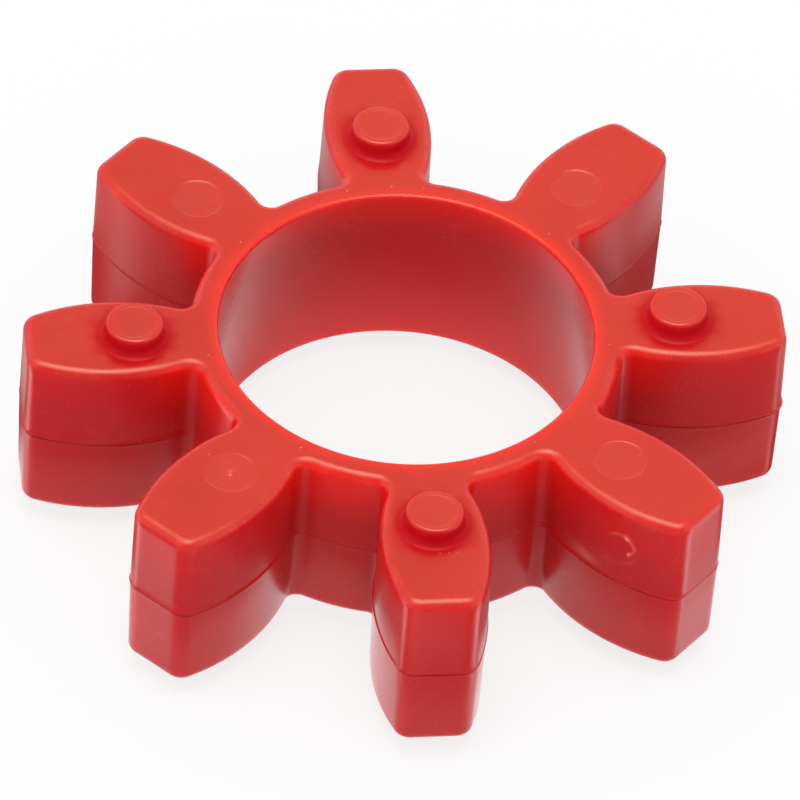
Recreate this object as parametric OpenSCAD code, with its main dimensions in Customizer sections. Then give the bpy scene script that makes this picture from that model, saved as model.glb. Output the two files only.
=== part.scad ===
// Elastomer spider of a jaw coupling: a plain ring with crowned teeth that stand
// between the jaws of two hubs. One moulding, with spacer nubs on both faces.
// Millimetres. +Z is the shaft axis; the origin is on it, midway between the faces.

/* [Body] */
// Outside diameter over the tooth tips
outer_d = 55; // [52:0.5:60]
// Diameter of the bore through the ring
bore_d = 27; // [22:0.5:28]
// Thickness between the two flat faces
body_t = 14; // [10:0.5:20]
// Diameter of the ring's outside wall between the teeth
ring_d = 31.2; // [31:0.1:33]

/* [Teeth] */
// Number of teeth
teeth = 8; // [6, 8]
// Greatest width of a tooth, measured across its two crowned flanks
tooth_w = 8; // [7:0.1:8.6]
// Radius of the crowned flanks
crown_r = 14.6; // [13:0.1:20]
// Distance of the widest point of a tooth from the axis
crown_x = 21.1; // [20.5:0.1:22]
// Radius of the upright corners at the tooth tip
tip_r = 1.4; // [0.8:0.1:2]
// Radius of the fillet where a flank runs into the ring
root_r = 0.8; // [0.6:0.1:1.2]

/* [Spacer nubs] */
// Diameter of a nub
nub_d = 4.2; // [3:0.1:5]
// Height of a nub above the face
nub_h = 1.4; // [1:0.1:2]
// Distance of the nubs from the axis
nub_x = 19.6; // [19:0.1:20.5]
// Radius round the nub's top edge
nub_edge_r = 0.25; // [0.1:0.05:0.4]
// Radius of the fillet at the nub's foot
nub_foot_r = 0.25; // [0.1:0.05:0.4]

/* [Hidden] */
$fn = 96;
pitch = 360 / teeth;
outer_r = outer_d / 2;
ring_r = ring_d / 2;
// Arcs that run into one another overlap by this much, so they cross cleanly
lap = 0.001;
// Half width of the blank a tooth is cut from, well outside its flanks
blank_y = 10;
// How far the root fill reaches past the fillet arc, into ring and tooth
fill_reach = 0.5;
// Inner point of the root fill: depth inside the ring wall, and offset past the tooth's midline
fill_depth = 0.6;
fill_past = 0.4;
// How far a nub is sunk into the body, and its foot fillet into the nub
nub_sink = 0.5;
foot_overlap = 0.1;

// A tooth is laid out along +X; these points belong to its +Y flank.
// Centre of the flank circle
flank = [crown_x, tooth_w / 2 - crown_r];
// Tip corner: its arc touches both the tip face and the flank circle from inside
corner_x = outer_r - tip_r;
corner = [corner_x, flank.y + sqrt(pow(crown_r - tip_r, 2) - pow(corner_x - flank.x, 2))];
corner_a = direction(flank, corner);
// Where the corner's arc meets the flank
meet = step(corner, corner_a, tip_r);
// Chord from the tip face to that point: fall in x for each unit of y
chord_slope = (outer_r - meet.x) / (meet.y - corner.y);
// Root fillet: its centre is where circles about the axis and the flank centre cross
axis_reach = ring_r + root_r;
flank_reach = crown_r + root_r;
flank_dist = norm(flank);
along = (pow(axis_reach, 2) - pow(flank_reach, 2) + pow(flank_dist, 2)) / (2 * flank_dist);
across = sqrt(pow(axis_reach, 2) - pow(along, 2));
root = (along * flank + across * [-flank.y, flank.x]) / flank_dist;

// Angle of the line from one point to another
function direction(from, to) = atan2(to.y - from.y, to.x - from.x);
// The point at a distance from another, at an angle
function step(from, angle, dist) = from + dist * [cos(angle), sin(angle)];
// X of the tip chord's line at a given y
function chord_x(y) = outer_r - (y - corner.y) * chord_slope;

module both_flanks() {
    children();
    mirror([0, 1]) children();
}

module each_tooth() {
    for (k = [0:teeth - 1]) rotate(k * pitch) children();
}

// One tooth, crowned on both flanks, flat at the tip, with rounded corners
module tooth() {
    intersection() {
        translate(flank) circle(r = crown_r);
        translate([flank.x, -flank.y]) circle(r = crown_r);
        translate([0, -blank_y]) square([outer_r, 2 * blank_y]);
        union() {
            polygon([
                [0, -blank_y],
                [chord_x(blank_y), -blank_y],
                [chord_x(0), 0],
                [chord_x(blank_y), blank_y],
                [0, blank_y]
            ]);
            both_flanks() translate(corner) circle(r = tip_r + lap);
        }
    }
}

// Material that fills the inside corner between ring and flank, before its fillet is cut
module root_fill() {
    reach = root_r + fill_reach;
    polygon([
        root,
        step(root, direction([0, 0], root), -reach),
        [ring_r - fill_depth, -fill_past],
        step(root, direction(flank, root), -reach)
    ]);
}

module root_cut() {
    translate(root) circle(r = root_r + lap);
}

module outline() {
    difference() {
        union() {
            circle(r = ring_r);
            each_tooth() {
                tooth();
                both_flanks() root_fill();
            }
        }
        each_tooth() both_flanks() root_cut();
        circle(r = bore_d / 2);
    }
}

// Nub on the upper face, with a rounded top edge and a filleted foot
module nub() {
    r = nub_d / 2;
    top = nub_h + lap;
    translate([nub_x, 0, body_t / 2 - lap]) rotate_extrude() union() {
        translate([0, -nub_sink]) square([r, nub_sink + top - nub_edge_r]);
        translate([0, -nub_sink]) square([r - nub_edge_r, nub_sink + top]);
        translate([r - nub_edge_r, top - nub_edge_r]) circle(r = nub_edge_r);
        difference() {
            translate([r - foot_overlap, -nub_sink])
                square([nub_foot_r + foot_overlap, nub_sink + nub_foot_r]);
            translate([r + nub_foot_r, nub_foot_r]) circle(r = nub_foot_r);
        }
    }
}

// The whole moulding; nubs stand on the upper and lower face at alternate teeth
module spider() {
    color([0.83, 0.13, 0.09]) union() {
        linear_extrude(body_t, center = true) outline();
        for (k = [0:2:teeth - 1]) {
            rotate([0, 0, k * pitch]) nub();
            rotate([0, 0, (k + 1) * pitch]) mirror([0, 0, 1]) nub();
        }
    }
}

spider();
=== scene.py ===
"""Elastomer spider of a jaw coupling: one red moulding with eight teeth, standing on a pale floor
in soft studio light.

+Z is the shaft axis and the origin is on it, midway between the two flat faces. Tooth 0 points
along +X and the others follow anticlockwise. Sizes are in millimetres until the mesh is written;
the materials and the light work in metres."""

import math

import bpy
import numpy as np
from mathutils import Matrix, Vector
from mathutils.geometry import delaunay_2d_cdt


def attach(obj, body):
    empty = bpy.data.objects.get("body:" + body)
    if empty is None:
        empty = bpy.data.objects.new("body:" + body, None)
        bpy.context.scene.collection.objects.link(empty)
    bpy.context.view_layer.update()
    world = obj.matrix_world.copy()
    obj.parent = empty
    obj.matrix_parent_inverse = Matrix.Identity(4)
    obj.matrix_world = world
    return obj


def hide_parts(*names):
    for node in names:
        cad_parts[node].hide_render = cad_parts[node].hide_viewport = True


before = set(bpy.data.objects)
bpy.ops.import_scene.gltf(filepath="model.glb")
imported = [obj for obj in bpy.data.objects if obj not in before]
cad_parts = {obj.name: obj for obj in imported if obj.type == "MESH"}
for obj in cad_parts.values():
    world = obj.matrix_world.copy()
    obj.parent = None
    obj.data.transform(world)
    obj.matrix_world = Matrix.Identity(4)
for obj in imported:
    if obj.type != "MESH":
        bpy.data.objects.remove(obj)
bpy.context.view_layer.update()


# ------------------------------------------------------------------ sizes
MM = 0.001
TEETH = 8
PITCH = 2 * math.pi / TEETH
OUTER_R = 27.5
BORE_R = 13.5
WEB_R = 15.6  # outside of the ring, between the teeth
HALF_T = 7.0  # half the thickness between the flat faces
TOOTH_HALF = 4.0  # half a tooth's greatest width
FLANK_R = 14.6  # a tooth's flank is an arc of this radius
FLANK_X = 21.1  # and its centre is this far out along the tooth
TIP_R = 1.4  # corner between tip and flank
ROOT_R = 0.8  # fillet between flank and web
EDGE_R = 0.72  # rounding between side wall and flat faces
BORE_EDGE_R = 0.32
DRAFT = 0.016  # side wall's inset per mm of height from the middle

# Nubs and round marks alternate on the teeth of each face
FEATURE_X = 19.6
FEATURE_SEGMENTS = 60
NUB_R = 2.1
NUB_H = 1.4
NUB_FOOT_R = 0.60
NUB_EDGE_R = 0.26
MARK_R = 1.88


# ------------------------------------------------------------------ outline
FLANK_Y = TOOTH_HALF - FLANK_R
# Centre of the tip's corner, and the angle at which it meets the flank
CORNER_X = OUTER_R - TIP_R
CORNER_Y = FLANK_Y + math.sqrt((FLANK_R - TIP_R) ** 2 - (CORNER_X - FLANK_X) ** 2)
FLANK_START = math.atan2(CORNER_Y - FLANK_Y, CORNER_X - FLANK_X)


def root_centre():
    """Centre of the root fillet, which touches both the web's circle and the flank's."""
    from_axis, from_flank = WEB_R + ROOT_R, FLANK_R + ROOT_R
    apart = math.hypot(FLANK_X, FLANK_Y)
    along = (from_axis * from_axis - from_flank * from_flank + apart * apart) / (2 * apart)
    aside = math.sqrt(from_axis * from_axis - along * along)
    x = (along * FLANK_X - aside * FLANK_Y) / apart
    y = (along * FLANK_Y + aside * FLANK_X) / apart
    return x, y


ROOT_X, ROOT_Y = root_centre()
FLANK_END = math.atan2(ROOT_Y - FLANK_Y, ROOT_X - FLANK_X)
WEB_START = math.atan2(ROOT_Y, ROOT_X)

# The gate's scar is on the flank of the tooth at -45 degrees that faces the tooth at -90
GATE_TOOTH = 7
GATE_SIDE = -1
GATE_X = 22.95  # distance out along the tooth
GATE_Z = 3.45


def arc(centre, radius, angles, hollow=False):
    """Points and outward normals along an arc."""
    away = np.stack([np.cos(angles), np.sin(angles)], 1)
    return np.array(centre) + radius * away, -away if hollow else away


def half_tooth(flank_shares):
    """Points and outward normals from the tip's middle to the web's middle.
    flank_shares says where the flank's points lie, 0 at the tip and 1 at the root."""
    tip_y = np.linspace(0, CORNER_Y, 6)
    tip = np.stack([np.full(6, OUTER_R), tip_y], 1), np.tile([1.0, 0.0], (6, 1))
    flank = FLANK_START + (FLANK_END - FLANK_START) * flank_shares
    root = np.linspace(FLANK_END + math.pi, WEB_START + math.pi, 12)
    arcs = (
        arc((CORNER_X, CORNER_Y), TIP_R, np.linspace(0, FLANK_START, 11)),
        arc((FLANK_X, FLANK_Y), FLANK_R, flank),
        arc((ROOT_X, ROOT_Y), ROOT_R, root, hollow=True),
        arc((0, 0), WEB_R, np.linspace(WEB_START, PITCH / 2, 8)),
    )
    points = np.concatenate([tip[0]] + [part[0][1:] for part in arcs])
    normals = np.concatenate([tip[1]] + [part[1][1:] for part in arcs])
    return points, normals


def make_outline():
    """The whole outline, anticlockwise: points, normals, and each point's tooth and side
    (-1 is the tooth's clockwise side)."""
    plain = np.linspace(0, 1, 30)
    gate_share = math.acos((GATE_X - FLANK_X) / FLANK_R) - FLANK_START
    gate_share /= FLANK_END - FLANK_START
    around_gate = np.linspace(gate_share - 0.17, 0.97, 68)
    dense = np.unique(np.concatenate([plain, around_gate]).round(4))
    parts = []
    for tooth in range(TEETH):
        turn = tooth * PITCH
        rotation = np.array(
            [[math.cos(turn), math.sin(turn)], [-math.sin(turn), math.cos(turn)]]
        )
        for side in (-1, 1):
            has_gate = tooth == GATE_TOOTH and side == GATE_SIDE
            points, normals = half_tooth(dense if has_gate else plain)
            if side == -1:
                points, normals = points[::-1] * [1, -1], normals[::-1] * [1, -1]
            points, normals = points[:-1], normals[:-1]
            size = len(points)
            parts.append(
                (points @ rotation, normals @ rotation, np.full(size, tooth), np.full(size, side))
            )
    return [np.concatenate(column) for column in zip(*parts)]


outline, outline_normals, outline_tooth, outline_side = make_outline()
outline_count = len(outline)

# ------------------------------------------------------------------ mesh pieces
point_sets, faces = [], []
# What the material is told about each point, each from 0 to 1
LOOKS = {"edge_wear": [], "rubbed": [], "glow": [], "whitened": [], "painted_shade": [], "seam": []}


def add_points(points, **looks):
    """Adds points with their looks and returns their numbers."""
    start = sum(len(points) for points in point_sets)
    points = np.asarray(points, float)
    size = len(points)
    point_sets.append(points)
    for name, values in LOOKS.items():
        values.append(np.broadcast_to(np.asarray(looks.get(name, 0.0), float), (size,)))
    return np.arange(start, start + size)


def add_strip(first, second, flip=False):
    """Quads between two closed loops of the same length."""
    size = len(first)
    for i in range(size):
        j = (i + 1) % size
        quad = (first[i], first[j], second[j], second[i])
        faces.append(quad[::-1] if flip else quad)


def add_strips(loops, flip=False):
    for first, second in zip(loops[:-1], loops[1:]):
        add_strip(first, second, flip)


def add_fan(loop, centre, flip=False):
    size = len(loop)
    for i in range(size):
        triangle = (loop[i], loop[(i + 1) % size], centre)
        faces.append(triangle[::-1] if flip else triangle)


def rounded_edge(degrees, radius, offset, side):
    """Rows of a rounded edge at the upper (side 1) or lower (-1) face: z, offset, edge wear.
    90 degrees is on the face and 0 on the wall."""
    rows = []
    for angle in map(math.radians, degrees):
        z = side * (HALF_T - radius + radius * math.sin(angle))
        rows.append((z, offset + radius * (1 - math.cos(angle)), math.sin(2 * angle)))
    return rows


def smooth_noise(count, waves, seed):
    """A periodic wandering value along a loop, mean 0 and about 1 high."""
    random = np.random.default_rng(seed)
    turn = np.arange(count) / count * 2 * math.pi
    total = np.zeros(count)
    for k in range(1, waves + 1):
        wave = random.normal() * np.cos(k * turn + random.uniform(0, 6.28))
        total += wave / math.sqrt(waves)
    return total


# ------------------------------------------------------------------ gate's scar
def bell(value, centre, width):
    return np.exp(-(((value - centre) / width) ** 2))


def bells(value, table):
    """Sum of bells, from rows of height, centre and width."""
    return sum(height * bell(value, centre, width) for height, centre, width in table)


# Rows of height, centre and width; the first, third and fourth tables go by the angle round the
# scar in radians, and the second by the distance outside the rim in mm
RIM_HEIGHT = ((0.17, 1.15, 0.30), (0.15, -0.42, 0.26), (0.045, 0.45, 0.95), (0.020, 2.2, 0.6))
RIM_SECTION = ((1.0, 0.0, 0.075), (0.30, 0.10, 0.10))
RIM_WHITE = ((1.1, 1.12, 0.20), (0.85, -0.46, 0.22), (0.42, 0.35, 0.75), (0.25, 1.9, 0.5))
RIM_NOTCH = ((-0.30, -0.45, 0.40),)
SMEAR_SLOPE = 0.12  # fall of the dragged tail per mm along the tooth

gate_turn = GATE_TOOTH * PITCH
tooth_x = outline @ np.array([math.cos(gate_turn), math.sin(gate_turn)])
tooth_y = outline @ np.array([-math.sin(gate_turn), math.cos(gate_turn)])
gate_along = tooth_x - GATE_X
on_gate_flank = (outline_tooth == GATE_TOOTH) & (outline_side == GATE_SIDE)
on_gate_flank &= (tooth_y < -1.0) & (tooth_x < 25.2)


def scar_rim(up):
    """Distance from the gate's centre, angle round it, and distance outside the scar's rim."""
    angle, distance = np.arctan2(up, gate_along), np.hypot(gate_along, up)
    rim_radius = 1.16 + bells(angle, RIM_NOTCH) + 0.03 * np.sin(5 * angle + 1.0)
    return distance, angle, distance - rim_radius


def torn_patch(up):
    return bell(gate_along, centre=-1.0, width=0.62) * bell(up, centre=-1.75, width=0.50)


def torn_wave(up):
    return np.sin(15.0 * gate_along + 7.0 * up + 0.6)


def smear(up, centre_along, centre_up, length, width):
    """The dragged tail below the scar, towards the root."""
    slanted = up + SMEAR_SLOPE * (gate_along - centre_along)
    return bell(gate_along, centre_along, length) * bell(slanted, centre_up, width)


def gate_shift(z):
    """Outward shift of the side wall: a torn, curled rim, a shallow dish and a dragged tail."""
    up = z - GATE_Z
    distance, angle, outside = scar_rim(up)
    ragged = 1 + 0.30 * np.sin(11 * angle) * np.sin(23 * angle + 0.7)
    rim = bells(angle, RIM_HEIGHT) * ragged * bells(outside, RIM_SECTION)
    dish = -0.035 * bell(distance, centre=0, width=0.80)
    grain = torn_wave(up) * np.sin(21.0 * up - 5.0 * gate_along)
    grain = grain + 0.6 * np.sin(31.0 * gate_along - 11.0 * up)
    tail = smear(up, centre_along=-2.85, centre_up=-2.70, length=0.95, width=0.24)
    shift = rim + dish + 0.020 * torn_patch(up) * grain + 0.030 * tail
    return np.where(on_gate_flank, shift, 0.0)


def gate_rub(z):
    """How far the skin is dulled below the gate, 0 to 1."""
    up = z - GATE_Z
    tail = smear(up, centre_along=-2.75, centre_up=-2.66, length=1.00, width=0.34)
    streaks = np.sin(19.0 * (up + SMEAR_SLOPE * gate_along)) * np.sin(3.0 * gate_along + 1.0)
    torn = 0.30 * torn_patch(up) * (0.5 + 0.5 * torn_wave(up))
    rub = tail * (0.75 + 0.25 * streaks) + torn
    return np.where(on_gate_flank, np.clip(rub, 0, 1), 0.0)


def gate_whitening(z):
    """How far the torn, curled rim of the scar turns white, 0 to 1."""
    distance, angle, outside = scar_rim(z - GATE_Z)
    rim = bells(angle, RIM_WHITE) * bell(outside, centre=0, width=0.13)
    halo = bell(angle, centre=-1.0, width=0.45) * bell(distance, centre=1.52, width=0.12)
    return np.where(on_gate_flank, np.clip(rim + 0.16 * halo, 0, 1), 0.0)


# ------------------------------------------------------------------ side wall
WALL_END = HALF_T - EDGE_R
LOWER_WALL_Z = (-WALL_END + 0.15, -4.8, -3.0, -1.4, -0.5)
# Parting line, a thin proud lip with a fine crease under it: z, inset
PARTING_LINE = (
    (-0.30, 0.0), (-0.20, -0.004), (-0.13, -0.012), (-0.095, 0.012), (-0.065, 0.058),
    (-0.035, 0.062), (-0.005, 0.018), (0.020, -0.045), (0.055, -0.056), (0.095, -0.032),
    (0.140, -0.008), (0.200, -0.001), (0.36, 0.0),
)
# Close rows where the gate's scar is
UPPER_WALL_Z = (
    *np.linspace(0.50, 1.95, 9), *np.linspace(2.08, 4.94, 23), 5.2, 5.5, 5.75, WALL_END - 0.15,
)


def wall_row(z, parting=0.0):
    return z, DRAFT * abs(z), 0.1 if abs(z) > 6 else 0, parting


def side_rows():
    """Profile from the lower face to the upper: z, inset, edge wear, parting line's inset."""
    inset = DRAFT * WALL_END
    rows = [(*row, 0) for row in rounded_edge(np.linspace(90, 8, 8), EDGE_R, inset, -1)]
    rows += [wall_row(z) for z in LOWER_WALL_Z]
    rows += [wall_row(z, parting) for z, parting in PARTING_LINE]
    rows += [wall_row(z) for z in UPPER_WALL_Z]
    rows += [(*row, 0) for row in rounded_edge(np.linspace(8, 90, 9), EDGE_R, inset, 1)]
    return rows


def add_side_wall():
    """Returns the outline's loops at the lower and the upper face."""
    reach = np.hypot(outline[:, 0], outline[:, 1])
    # The parting line varies along the outline and is stronger at the tips
    lip = np.clip(0.9 + 0.45 * smooth_noise(outline_count, waves=40, seed=3), 0.25, 1.8)
    lip = lip * (1 + 0.5 * np.clip((reach - 26.0) / 1.8, 0, 1))
    wander = 0.010 * smooth_noise(outline_count, waves=24, seed=5)
    crease_share = np.clip(lip, 0.55, 1.0)
    crease_reach = np.interp(reach, (17, 21), (0.3, 1))
    loops = []
    for z, inset, wear, parting in side_rows():
        waviness = wander * (1 if abs(z) < 6 else 0) * math.cos(z * 0.25)
        shift = inset + parting * lip + waviness - gate_shift(z)
        flat = outline - shift[:, None] * outline_normals
        # Painted shade along the crease under the parting line's lip, weaker where the lip is low
        # and near the ring
        crease = np.interp(z, (-0.17, -0.09, -0.02, 0.03), (0, 1, 1, 0))
        loops.append(
            add_points(
                np.column_stack([flat, np.full(outline_count, z)]),
                edge_wear=wear,
                rubbed=gate_rub(z),
                whitened=gate_whitening(z),
                seam=crease * crease_share * crease_reach,
            )
        )
    add_strips(loops)
    return loops[0], loops[-1]


# ------------------------------------------------------------------ bore
BORE_SEGMENTS = 256


def circle(segments):
    """Angles and unit vectors round a circle."""
    angles = np.linspace(0, 2 * math.pi, segments, endpoint=False)
    return angles, np.stack([np.cos(angles), np.sin(angles)], 1)


def add_bore():
    """The bore's wall with its rounded edges; returns its lower and upper loops."""
    away = circle(BORE_SEGMENTS)[1]
    wall_end = HALF_T - BORE_EDGE_R
    rows = rounded_edge(np.linspace(90, 0, 6), BORE_EDGE_R, BORE_R, -1)
    rows += [(z, BORE_R, 0) for z in np.linspace(-wall_end + 0.3, wall_end - 0.3, 12)]
    rows += rounded_edge(np.linspace(0, 90, 6), BORE_EDGE_R, BORE_R, 1)
    waviness = 0.012 * smooth_noise(BORE_SEGMENTS, waves=14, seed=9)
    loops = []
    for z, radius, wear in rows:
        radii = radius + waviness * (1 if abs(z) < wall_end else 0)
        # Painted glow in the bore's lower part and in a band under its upper rim
        lower_glow = np.clip((2.5 - z) / 9.0, 0, 1) * 0.95
        upper_glow = np.clip((z - 4.0) / 2.2, 0, 1) * 0.70
        points = np.column_stack([away * radii[:, None], np.full(BORE_SEGMENTS, z)])
        loops.append(add_points(points, edge_wear=wear, glow=max(lower_glow, upper_glow)))
    add_strips(loops, flip=True)
    return loops[0], loops[-1]


# ------------------------------------------------------------------ round features on the faces
# Profiles run from the outside to the middle as (radius, height above the face)
NUB_SIDE = ((NUB_R - 0.012, 0.76), (NUB_R - 0.025, 1.00))
# Slightly dished top of a nub: radius, depth below its height
NUB_TOP = (
    (1.68, 0.001), (1.60, 0.008), (1.53, 0.026), (1.46, 0.036), (1.36, 0.038), (0.9, 0.040),
    (0.45, 0.041),
)
# A very shallow round recess with a soft step
MARK_PROFILE = (
    (MARK_R + 0.16, 0.0), (MARK_R + 0.09, 0.004), (MARK_R + 0.04, 0.002), (MARK_R, -0.020),
    (MARK_R - 0.04, -0.052), (MARK_R - 0.09, -0.066), (MARK_R - 0.28, -0.068), (1.0, -0.060),
    (0.5, -0.056),
)
MARK_PIP = ((0.13, -0.056), (0.10, -0.020), (0.06, 0.022), (0.03, 0.036))
MARK_PIP_TOOTH = 5  # its upper mark has a pip in the middle
# For each tooth, how much its mark fades, and the side where it is deepest (degrees from +X)
MARK_FADE = (
    (0.6, 20.0), (0.80, 95.0), (0.7, 140.0), (0.55, 60.0),
    (0.5, -60.0), (0.75, -110.0), (0.65, 170.0), (0.45, -80.0),
)
# Tiny pips on the upper face: distance from the axis, angle in degrees, radius, height
PIPS = (
    (14.45, 140.4, 0.10, 0.07), (14.50, 101.6, 0.10, 0.07), (14.50, 88.6, 0.10, 0.06),
    (14.50, 79.3, 0.09, 0.05), (14.55, 38.9, 0.09, 0.05), (14.60, -9.2, 0.09, 0.05),
    (14.30, -56.0, 0.08, 0.05), (14.55, -126.5, 0.11, 0.07), (14.6, -171.5, 0.08, 0.05),
    (25.10, 85.2, 0.08, 0.03), (22.42, -89.6, 0.075, 0.035), (22.44, -88.0, 0.075, 0.040),
    (22.48, -86.6, 0.070, 0.035), (19.45, -141.6, 0.085, 0.08),
)
# Section of a pip, as shares of its radius and height
PIP_SHAPE = ((1.0, 0.0), (0.86, 0.22), (0.62, 0.66), (0.34, 0.92))
PIP_SEGMENTS = 14


def nub_profile():
    foot, edge = NUB_FOOT_R, NUB_EDGE_R
    profile = [(NUB_R + foot, 0.0)]
    for angle in map(math.radians, np.linspace(78, 0, 7)):
        profile.append((NUB_R + foot - foot * math.cos(angle), foot - foot * math.sin(angle)))
    profile += NUB_SIDE
    for angle in map(math.radians, np.linspace(0, 90, 8)):
        radius = NUB_R - 0.03 - edge + edge * math.cos(angle)
        profile.append((radius, NUB_H - edge + edge * math.sin(angle)))
    return profile + [(radius, NUB_H - depth) for radius, depth in NUB_TOP]


def nub_looks(radius, height):
    """Painted shade on a nub's foot and side; its top is a little handled."""
    painted_shade_share = np.interp(height, (0.0, 0.02, 0.25, 0.9, 1.2), (0.75, 0.95, 1, 0.8, 0))
    return {"painted_shade": float(painted_shade_share), "rubbed": 0.05 if radius < 1.7 else 0.0}


def mark_looks(radius, height):
    return {
        "rubbed": 0.06 if radius < MARK_R - 0.02 else 0.0,
        "whitened": 0.5 if radius < 0.09 else 0.0,
    }


def pip_looks(radius, height):
    # Whitened tops: painted glints at the root corners, and pale specks elsewhere
    return {"whitened": 0.5 if height > 0.02 else 0.0}


def round_feature(distance, degrees, profile, up, segments, looks, fade=0.0, deepest=0.0):
    """A round feature on the upper (up 1) or lower (-1) face; returns its outer loop.
    fade weakens its relief round part of the circle, away from the angle deepest (radians)."""
    place = math.radians(degrees)
    centre = [distance * math.cos(place), distance * math.sin(place)]
    angles, away = circle(segments)
    falloff = 0.5 - 0.5 * np.cos(angles - deepest)
    relief = 1 - fade * falloff * (1 + 0.25 * np.sin(3 * angles + 2 * deepest))
    loops = []
    for radius, height in profile:
        share = relief if radius > 1.0 else np.ones(segments)
        flat = np.array(centre) + radius * away
        points = np.column_stack([flat, up * (HALF_T + height * share)])
        loops.append(add_points(points, **looks(radius, height)))
    add_strips(loops, flip=up < 0)
    top = [[*centre, up * (HALF_T + profile[-1][1])]]
    add_fan(loops[-1], add_points(top, **looks(*profile[-1]))[0], flip=up < 0)
    return loops[0]


def add_round_features():
    """Returns the features' outer loops on the upper and on the lower face."""
    upper, lower = [], []
    for tooth, (fade, deepest) in enumerate(MARK_FADE):
        for up, loops in ((1, upper), (-1, lower)):
            place = FEATURE_X, 360 // TEETH * tooth
            # Even teeth have their nub on the upper face and their mark on the lower
            if (tooth % 2 == 0) == (up > 0):
                loop = round_feature(*place, nub_profile(), up, FEATURE_SEGMENTS, nub_looks)
            else:
                has_pip = tooth == MARK_PIP_TOOTH and up > 0
                profile = MARK_PROFILE + MARK_PIP if has_pip else MARK_PROFILE
                loop = round_feature(
                    *place, profile, up, FEATURE_SEGMENTS, mark_looks,
                    fade=fade, deepest=math.radians(deepest),
                )
            loops.append(loop)
    for distance, degrees, radius, height in PIPS:
        profile = [(across * radius, high * height) for across, high in PIP_SHAPE]
        upper.append(round_feature(distance, degrees, profile, 1, PIP_SEGMENTS, pip_looks))
    return upper, lower


# ------------------------------------------------------------------ flat faces
# The faces are filled on a staggered grid
GRID_REACH = 28
GRID_STEP = 0.8
GRID_ROW = 0.7
GRID_GAP = 0.45  # kept between grid points and the loops


def inside(points, polygon):
    x, y = points[:, 0][:, None], points[:, 1][:, None]
    x1, y1 = polygon[:, 0], polygon[:, 1]
    x2, y2 = np.roll(x1, -1), np.roll(y1, -1)
    crossed = ((y1 > y) != (y2 > y)) & (x < (x2 - x1) * (y - y1) / (y2 - y1 + 1e-300) + x1)
    return crossed.sum(1) % 2 == 1


def on_face(points, polygons):
    """Whether points are inside the first polygon and outside all the others."""
    keep = inside(points, polygons[0])
    for hole in polygons[1:]:
        keep &= ~inside(points, hole)
    return keep


def grid_points():
    x, y = np.meshgrid(
        np.arange(-GRID_REACH, GRID_REACH, GRID_STEP), np.arange(-GRID_REACH, GRID_REACH, GRID_ROW)
    )
    x = x + (np.arange(x.shape[0]) % 2)[:, None] * (GRID_STEP / 2)
    return np.column_stack([x.ravel(), y.ravel()])


def add_flat_face(loops, z, faces_down):
    """Fills a flat face between its outline (the first loop) and its holes; returns its points."""
    placed = np.concatenate(point_sets)[:, :2]
    polygons = [placed[loop] for loop in loops]
    numbers = np.concatenate(loops)
    flat = placed[numbers]
    edges, start = [], 0
    for loop in loops:
        size = len(loop)
        edges += [(start + i, start + (i + 1) % size) for i in range(size)]
        start += size
    grid = grid_points()
    grid = grid[on_face(grid, polygons)]
    gap = np.min(np.linalg.norm(grid[:, None] - flat[None], axis=2), 1)
    grid = grid[gap > GRID_GAP]
    new = add_points(np.column_stack([grid, np.full(len(grid), z)]))
    numbers = np.concatenate([numbers, new])
    flat = np.concatenate([flat, grid])

    filled = delaunay_2d_cdt([Vector(point) for point in flat], edges, [], 0, 1e-7)
    corners, triangles, sources = filled[0], filled[2], filled[3]
    if not all(sources):
        raise SystemExit("flat face: the outline crosses itself")
    middles = [np.mean([corners[i][:] for i in triangle], axis=0) for triangle in triangles]
    for triangle, keep in zip(triangles, on_face(np.array(middles), polygons)):
        if not keep:
            continue
        face = [numbers[sources[i][0]] for i in triangle]
        (ax, ay), (bx, by), (cx, cy) = (corners[i] for i in triangle)
        clockwise = (bx - ax) * (cy - ay) - (by - ay) * (cx - ax) < 0
        faces.append(tuple(face[::-1] if clockwise != faces_down else face))
    return numbers


# ------------------------------------------------------------------ mesh object
def corner_normals(points):
    """Point normals, weighted by the angle of each face's corner."""
    normals = np.zeros_like(points)
    for size in (3, 4):
        sized = np.array([face for face in faces if len(face) == size], int)
        a, b, c = (points[sized[:, i]] for i in range(3))
        across = (b - a, c - a) if size == 3 else (c - a, points[sized[:, 3]] - b)
        face_normals = np.cross(*across)
        face_normals /= np.linalg.norm(face_normals, axis=1)[:, None] + 1e-30
        for i in range(size):
            corner = points[sized[:, i]]
            ahead = points[sized[:, (i + 1) % size]] - corner
            behind = points[sized[:, i - 1]] - corner
            lengths = np.linalg.norm(ahead, axis=1) * np.linalg.norm(behind, axis=1)
            cosine = np.sum(ahead * behind, 1) / (lengths + 1e-30)
            angle = np.arccos(np.clip(cosine, -1, 1))
            np.add.at(normals, sized[:, i], face_normals * angle[:, None])
    return normals / (np.linalg.norm(normals, axis=1)[:, None] + 1e-30)


def link(name, data):
    thing = bpy.data.objects.new(name, data)
    bpy.context.scene.collection.objects.link(thing)
    return thing


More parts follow.
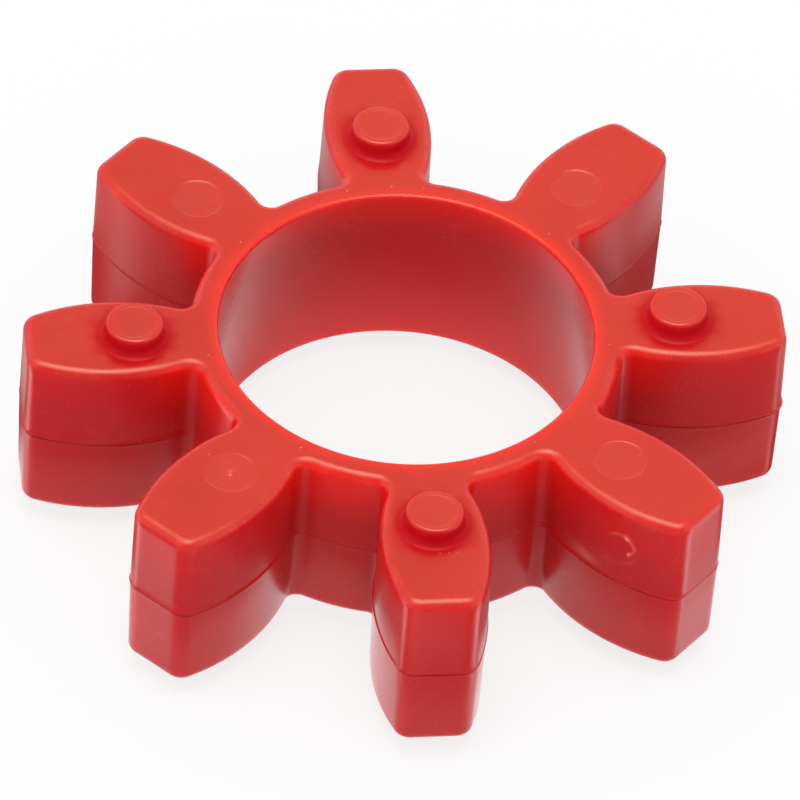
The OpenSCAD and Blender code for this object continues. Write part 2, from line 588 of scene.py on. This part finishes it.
def make_spider():
    """Returns the object and its points in mm."""
    outer_low, outer_high = add_side_wall()
    bore_low, bore_high = add_bore()
    upper, lower = add_round_features()
    upper_face = add_flat_face([outer_high, bore_high, *upper], HALF_T, faces_down=False)
    lower_face = add_flat_face([outer_low, bore_low, *lower], -HALF_T, faces_down=True)

    points = np.concatenate(point_sets)
    mesh = bpy.data.meshes.new("spider_moulding")
    mesh.from_pydata((points * MM).tolist(), [], [tuple(int(i) for i in face) for face in faces])
    mesh.update()
    normals = corner_normals(points)
    normals[upper_face] = (0.0, 0.0, 1.0)
    normals[lower_face] = (0.0, 0.0, -1.0)
    mesh.polygons.foreach_set("use_smooth", np.ones(len(mesh.polygons), bool))
    mesh.normals_split_custom_set_from_vertices(normals.tolist())
    for name, values in LOOKS.items():
        attribute = mesh.attributes.new(name, "FLOAT", "POINT")
        attribute.data.foreach_set("value", np.concatenate(values).astype(np.float32))
    return link("spider_moulding", mesh), points


# ------------------------------------------------------------------ node trees
class Nodes:
    """Short names for building a node tree."""

    def __init__(self, owner):
        owner.use_nodes = True
        self.tree = owner.node_tree
        self.tree.nodes.clear()

    def new(self, kind):
        return self.tree.nodes.new(kind)

    def put(self, socket, value):
        if isinstance(value, (int, float, tuple)):
            socket.default_value = value
        else:
            self.tree.links.new(value, socket)

    def build(self, kind, inputs, output=0):
        """A node with its inputs filled; returns one output."""
        node = self.new(kind)
        for key, value in inputs.items():
            self.put(node.inputs[key], value)
        return node.outputs[output]

    def place(self, space):
        return self.new("ShaderNodeTexCoord").outputs[space]

    def split(self, vector):
        node = self.new("ShaderNodeSeparateXYZ")
        self.put(node.inputs[0], vector)
        return node.outputs

    def noise(self, vector, scale, detail=2.0, rough=0.5, distortion=0.0):
        inputs = {"Scale": scale, "Detail": detail, "Roughness": rough}
        inputs |= {"Distortion": distortion, "Vector": vector}
        return self.build("ShaderNodeTexNoise", inputs, "Fac")

    def linear(self, value, over, to, kind="LINEAR"):
        node = self.new("ShaderNodeMapRange")
        node.interpolation_type = kind
        for key, number in zip(("From Min", "From Max", "To Min", "To Max"), (*over, *to)):
            node.inputs[key].default_value = number
        self.put(node.inputs["Value"], value)
        return node.outputs["Result"]

    def ease(self, value, over, to=(0, 1)):
        return self.linear(value, over, to, "SMOOTHSTEP")

    def math(self, operation, a, b=0.0):
        node = self.new("ShaderNodeMath")
        node.operation = operation
        self.put(node.inputs[0], a)
        self.put(node.inputs[1], b)
        return node.outputs[0]

    def add(self, a, b):
        return self.math("ADD", a, b)

    def multiply(self, first, *others):
        for other in others:
            first = self.math("MULTIPLY", first, other)
        return first

    def maximum(self, a, b):
        return self.math("MAXIMUM", a, b)

    def invert(self, value):
        return self.math("SUBTRACT", 1.0, value)

    def dot(self, vector, along):
        node = self.new("ShaderNodeVectorMath")
        node.operation = "DOT_PRODUCT"
        self.put(node.inputs[0], vector)
        node.inputs[1].default_value = along
        return node.outputs["Value"]

    def mix(self, share, a, b):
        node = self.new("ShaderNodeMix")
        node.data_type = "RGBA"
        for index, value in ((0, share), (6, a), (7, b)):
            self.put(node.inputs[index], value)
        return node.outputs[2]

    def mix_shader(self, share, a, b):
        return self.build("ShaderNodeMixShader", {0: share, 1: a, 2: b})

    def emission(self, strength, colour=(1.0, 1.0, 1.0, 1)):
        return self.build("ShaderNodeEmission", {"Color": colour, "Strength": strength})

    def bump(self, height, strength, distance, normal=None):
        inputs = {"Strength": strength, "Distance": distance, "Height": height}
        if normal is not None:
            inputs["Normal"] = normal
        return self.build("ShaderNodeBump", inputs, "Normal")

    def attribute(self, name):
        node = self.new("ShaderNodeAttribute")
        node.attribute_name = name
        return node.outputs["Fac"]


# ------------------------------------------------------------------ red polyurethane
DEEP_RED = (0.390, 0.0055, 0.0080, 1)
LIGHTER_RED = (0.425, 0.0085, 0.0095, 1)
CLOUD_RED = (0.435, 0.0120, 0.0105, 1)
PAINTED_GLOW_RED = (0.600, 0.0070, 0.0050, 1)
WORN_RED = (0.52, 0.050, 0.030, 1)
RUBBED_RED = (0.52, 0.125, 0.110, 1)
WHITENING_AND_GLINT_RED = (0.90, 0.170, 0.110, 1)
PAINTED_SHADE_RED = (0.400, 0.0020, 0.0060, 1)
CREASE_PAINTED_SHADE_RED = (0.120, 0.0030, 0.0040, 1)


def glowing_rim(nt, place):
    """Painted glow on the thin upper parts near the bore, standing in for light that passes through
    the polymer.
    """
    x, y, z = nt.split(place)
    reach = nt.math("SQRT", nt.add(nt.math("POWER", x, 2), nt.math("POWER", y, 2)))
    return nt.multiply(
        nt.ease(z, over=(0.0015, 0.0060)),
        nt.ease(z, over=(0.0066, 0.0070), to=(1, 0.10)),
        nt.ease(reach, over=(0.0165, 0.0205), to=(1, 0.30)),
        nt.ease(reach, over=(0.0137, 0.0145)),
    )


def red_colour(nt, place, looks):
    """Slow drift through the pigment and faint flow clouds, then the looks over them: painted glow,
    wear, rubbing, whitening with painted glints, and painted shade on the nubs' feet and in the
    parting line's crease.
    """
    drift = nt.ease(nt.noise(place, scale=60), over=(0.35, 0.65))
    colour = nt.mix(drift, DEEP_RED, LIGHTER_RED)
    cloud = nt.noise(place, scale=230, distortion=0.6)
    colour = nt.mix(nt.ease(cloud, over=(0.45, 0.70), to=(0, 0.5)), colour, CLOUD_RED)
    # Painted glow: a brighter red where light through the polymer would show
    glow = nt.maximum(glowing_rim(nt, place), looks["glow"])
    colour = nt.mix(glow, colour, PAINTED_GLOW_RED)
    patches = nt.noise(place, scale=700, detail=3, rough=0.6)
    patches = nt.ease(patches, over=(0.40, 0.72), to=(0.04, 0.30))
    colour = nt.mix(nt.multiply(looks["edge_wear"], patches), colour, WORN_RED)
    colour = nt.mix(nt.multiply(looks["rubbed"], 0.75), colour, RUBBED_RED)
    # Whitening of the gate's torn rim, and painted glints on the pips' tops
    colour = nt.mix(looks["whitened"], colour, WHITENING_AND_GLINT_RED)
    # Painted shade on the nubs' feet and sides
    colour = nt.mix(nt.multiply(looks["painted_shade"], 0.8), colour, PAINTED_SHADE_RED)
    # Painted shade in the parting line's crease
    return nt.mix(nt.multiply(looks["seam"], 0.85), colour, CREASE_PAINTED_SHADE_RED)


def satin_roughness(nt, place, looks):
    """Moulded satin with cloudier patches and a fine grain, dull where rubbed."""
    satin = nt.noise(place, scale=150, detail=3, rough=0.55)
    satin = nt.ease(satin, over=(0.32, 0.68), to=(0.215, 0.275))
    grain = nt.noise(place, scale=1800, rough=0.6)
    grain = nt.linear(grain, over=(0.30, 0.70), to=(-0.02, 0.025))
    rough = nt.add(nt.add(satin, grain), nt.multiply(looks["rubbed"], 0.18))
    return nt.add(rough, nt.multiply(looks["edge_wear"], 0.03))


def relief(nt, place):
    """Slow shrinkage waviness, mould texture and fine scuffs."""
    normal = nt.bump(nt.noise(place, scale=210), strength=0.30, distance=0.00010)
    texture = nt.noise(place, scale=900)
    normal = nt.bump(texture, strength=0.25, distance=0.000018, normal=normal)
    scuffs = nt.noise(place, scale=4200, detail=3, rough=0.6)
    return nt.bump(scuffs, strength=0.25, distance=0.000007, normal=normal)


def make_polyurethane():
    material = bpy.data.materials.new("red_polyurethane")
    nt = Nodes(material)
    out = nt.new("ShaderNodeOutputMaterial")
    bsdf = nt.new("ShaderNodeBsdfPrincipled")
    nt.put(out.inputs["Surface"], bsdf.outputs["BSDF"])
    place = nt.place("Object")
    names = ("edge_wear", "rubbed", "painted_shade", "seam", "glow", "whitened")
    looks = {name: nt.attribute(name) for name in names}
    nt.put(bsdf.inputs["Base Color"], red_colour(nt, place, looks))
    # Where shade is painted, on the nubs' feet and in the parting line's crease, the surface
    # mirrors less
    dull = nt.maximum(nt.multiply(looks["painted_shade"], 0.88), nt.multiply(looks["seam"], 0.8))
    nt.put(bsdf.inputs["Specular IOR Level"], nt.multiply(0.5, nt.invert(dull)))
    nt.put(bsdf.inputs["Roughness"], satin_roughness(nt, place, looks))
    bsdf.inputs["IOR"].default_value = 1.40
    # Translucency of the unfilled polymer
    bsdf.inputs["Subsurface Weight"].default_value = 0.55
    bsdf.inputs["Subsurface Radius"].default_value = (2.2, 0.30, 0.18)
    bsdf.inputs["Subsurface Scale"].default_value = 0.001
    nt.put(bsdf.inputs["Normal"], relief(nt, place))
    return material


# ------------------------------------------------------------------ floor and tent
# The studio is a white tent, open on the camera's side: the floor and the walls give even light,
# brightest from the sides, and the opening is what the camera-facing sides mirror.
FRONT = (-0.1546, -0.9880, 0.0)  # level, towards the camera
RIGHT = (0.9880, -0.1546, 0.0)
LIT_FROM = (-0.92, -0.40, 0.0)
FLOOR_HALF = 8.0  # metres


def mirrored_level(nt, path):
    """Brightness of the polished floor as the part mirrors it: a ray that came down towards the
    camera finds the tent's dark opening, a sideways one its bright walls, and a short one the
    lit floor close to the part."""
    place = nt.place("Object")
    across, ahead = nt.dot(place, RIGHT), nt.dot(place, FRONT)
    squares = nt.add(nt.multiply(across, across), nt.multiply(ahead, ahead))
    from_axis = nt.math("SQRT", squares)
    aside = nt.math("ABSOLUTE", across)
    coming = nt.new("ShaderNodeNewGeometry").outputs["Incoming"]
    onward = nt.dot(coming, tuple(-v for v in FRONT))  # positive for rays going to the camera
    run = path.outputs["Ray Length"]

    walls = nt.ease(nt.math("ABSOLUTE", onward), over=(0.06, 0.30), to=(1.80, 0))
    in_front = nt.ease(ahead, over=(-0.004, 0.004))
    walls = nt.multiply(
        walls,
        nt.ease(from_axis, over=(0.026, 0.0305), to=(0.08, 1)),
        nt.linear(in_front, over=(0, 1), to=(0.45, 1.18)),
        nt.ease(run, over=(0.008, 0.016), to=(0.92, 1.25)),
    )
    level = nt.add(0.25, walls)
    # Floor close to the part, in front of the axis
    lead = nt.ease(onward, over=(0.30, 0.62), to=(0.0028, 0))
    short = nt.math("SUBTRACT", run, lead)
    lead = nt.ease(onward, over=(-0.40, -0.20), to=(0.0030, 0))
    short = nt.math("SUBTRACT", short, lead)
    near = nt.multiply(
        nt.ease(short, over=(0.0045, 0.0128), to=(1, 0)),
        nt.ease(onward, over=(-0.30, 0.10), to=(1.40, 0.90)),
        in_front,
    )
    # Patch straight before the part, and the floor behind the axis
    front = nt.multiply(
        nt.ease(ahead, over=(0.030, 0.040), to=(0, 0.95)),
        nt.ease(aside, over=(0.006, 0.014), to=(1, 0)),
    )
    back = nt.multiply(
        nt.ease(run, over=(0.010, 0.018), to=(0.10, 0.62)), nt.invert(in_front)
    )
    # Rays that leave the camera behind the axis find it darker
    leaving = nt.ease(onward, over=(-0.30, -0.10), to=(1, 0))
    leaving = nt.multiply(leaving, nt.invert(in_front))
    level = nt.multiply(level, nt.linear(leaving, over=(0, 1), to=(1, 0.3)))
    for part in (near, front, back):
        level = nt.maximum(level, part)
    # Inside the bore
    in_bore = nt.ease(from_axis, over=(0.0140, 0.0146), to=(1, 0))
    bore_level = nt.ease(ahead, over=(-0.0125, -0.0030), to=(1.15, 0.08))
    bore_level = nt.maximum(bore_level, nt.ease(aside, over=(0.007, 0.012), to=(0, 1.05)))
    level = nt.add(nt.multiply(level, nt.invert(in_bore)), nt.multiply(bore_level, in_bore))
    return place, level


def make_floor_material():
    """Shows itself differently to the camera, to mirror rays and to soft light."""
    material = bpy.data.materials.new("pale_floor")
    nt = Nodes(material)
    out = nt.new("ShaderNodeOutputMaterial")
    path = nt.new("ShaderNodeLightPath")
    place, level = mirrored_level(nt, path)
    mirrored = nt.emission(level, colour=(1.0, 0.97, 0.97, 1))
    soft_level = nt.linear(nt.dot(place, LIT_FROM), over=(-0.05, 0.05), to=(1.05, 1.25))
    soft = nt.emission(soft_level)
    white = nt.emission(1.0)
    shade = nt.build("ShaderNodeBsdfDiffuse", {"Color": (0.62, 0.62, 0.62, 1)})
    seen = nt.mix_shader(0.20, white, shade)
    unseen = nt.mix_shader(path.outputs["Is Glossy Ray"], soft, mirrored)
    surface = nt.mix_shader(path.outputs["Is Camera Ray"], unseen, seen)
    nt.put(out.inputs["Surface"], surface)
    return material


def make_floor(z):
    mesh = bpy.data.meshes.new("floor")
    corners = [(x * FLOOR_HALF, y * FLOOR_HALF, z) for x, y in ((-1, -1), (1, -1), (1, 1), (-1, 1))]
    mesh.from_pydata(corners, [], [(0, 1, 2, 3)])
    floor = link("floor", mesh)
    mesh.materials.append(make_floor_material())


def make_world():
    """The tent: soft light, its mirrored walls, opening and warm roof, and plain white if seen."""
    world = bpy.data.worlds.new("studio")
    bpy.context.scene.world = world
    nt = Nodes(world)
    out = nt.new("ShaderNodeOutputWorld")
    background = nt.new("ShaderNodeBackground")
    nt.put(out.inputs["Surface"], background.outputs[0])
    path = nt.new("ShaderNodeLightPath")
    glossy, seen = path.outputs["Is Glossy Ray"], path.outputs["Is Camera Ray"]
    way = nt.place("Generated")
    soft = nt.linear(nt.dot(way, LIT_FROM), over=(-1, 1), to=(0.90, 1.52))
    towards_opening = nt.dot(way, (FRONT[0] * 0.92, FRONT[1] * 0.92, 0.39))
    opening = nt.ease(towards_opening, over=(0.55, 0.90), to=(1, 0.12))
    overhead = nt.ease(nt.dot(way, (-0.10, -0.06, 0.993)), over=(0.78, 0.93), to=(0, 3.4))
    mirrored = nt.add(nt.multiply(1.45, opening), overhead)
    level = nt.add(nt.multiply(soft, nt.invert(glossy)), nt.multiply(mirrored, glossy))
    level = nt.add(nt.multiply(level, nt.invert(seen)), seen)
    nt.put(background.inputs["Strength"], level)
    height = nt.split(way)["Z"]
    warm = nt.multiply(glossy, nt.ease(height, over=(0.30, 0.62), to=(0.10, 1)))
    tint = nt.mix(warm, (1.0, 1.0, 1.0, 1), (1.0, 0.95, 0.52, 1))
    nt.put(background.inputs["Color"], tint)


def make_softbox():
    """A square lamp above the part, aimed at the origin."""
    light = bpy.data.lights.new("top_softbox", "AREA")
    light.shape = "RECTANGLE"
    light.size = light.size_y = 0.34
    light.energy = 1.85
    softbox = link("top_softbox", light)
    softbox.location = (-0.02, -0.03, 0.62)
    softbox.rotation_mode = "QUATERNION"
    aim = -Vector((-0.02, -0.03, 0.62))
    softbox.rotation_quaternion = aim.to_track_quat("-Z", "Y")
    softbox.visible_camera = False


# ------------------------------------------------------------------ camera
# Place in the camera's own axes, from the middle of the lower face (mm)
CAMERA_PLACE = (0.323636, 4.648064, 699.3007)
CAMERA_LENS = 432.69231
# Radians
CAMERA_ELEVATION = 0.7885
CAMERA_ROLL = 0.0797
CAMERA_TURN = -0.1552  # about +Z, from looking along +Y


def make_camera():
    back = np.array([0, -math.cos(CAMERA_ELEVATION), math.sin(CAMERA_ELEVATION)])
    right = np.array([1.0, 0, 0])
    up = np.cross(back, right)
    c, s = math.cos(CAMERA_ROLL), math.sin(CAMERA_ROLL)
    rolled = np.column_stack([c * right + s * up, -s * right + c * up, back])
    axes = np.array(Matrix.Rotation(CAMERA_TURN, 3, "Z")) @ rolled
    pose = np.eye(4)
    pose[:3, :3] = axes
    pose[:3, 3] = (axes @ CAMERA_PLACE - np.array([0, 0, HALF_T])) * MM
    data = bpy.data.cameras.new("camera")
    data.sensor_width = 36.0
    data.sensor_fit = "HORIZONTAL"
    data.lens = CAMERA_LENS
    data.clip_start, data.clip_end = 0.05, 50
    camera = link("camera", data)
    camera.matrix_world = Matrix(pose.tolist())
    bpy.context.scene.camera = camera


# ------------------------------------------------------------------ build
spider, spider_points = make_spider()
spider.data.materials.append(make_polyurethane())
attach(spider, "root")
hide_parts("spider")

make_floor(float(spider_points[:, 2].min()) * MM)
make_world()
make_softbox()
make_camera()
view = bpy.context.scene.view_settings
view.view_transform = "Standard"
view.look = "None"
view.exposure = 0.0
view.gamma = 1.0
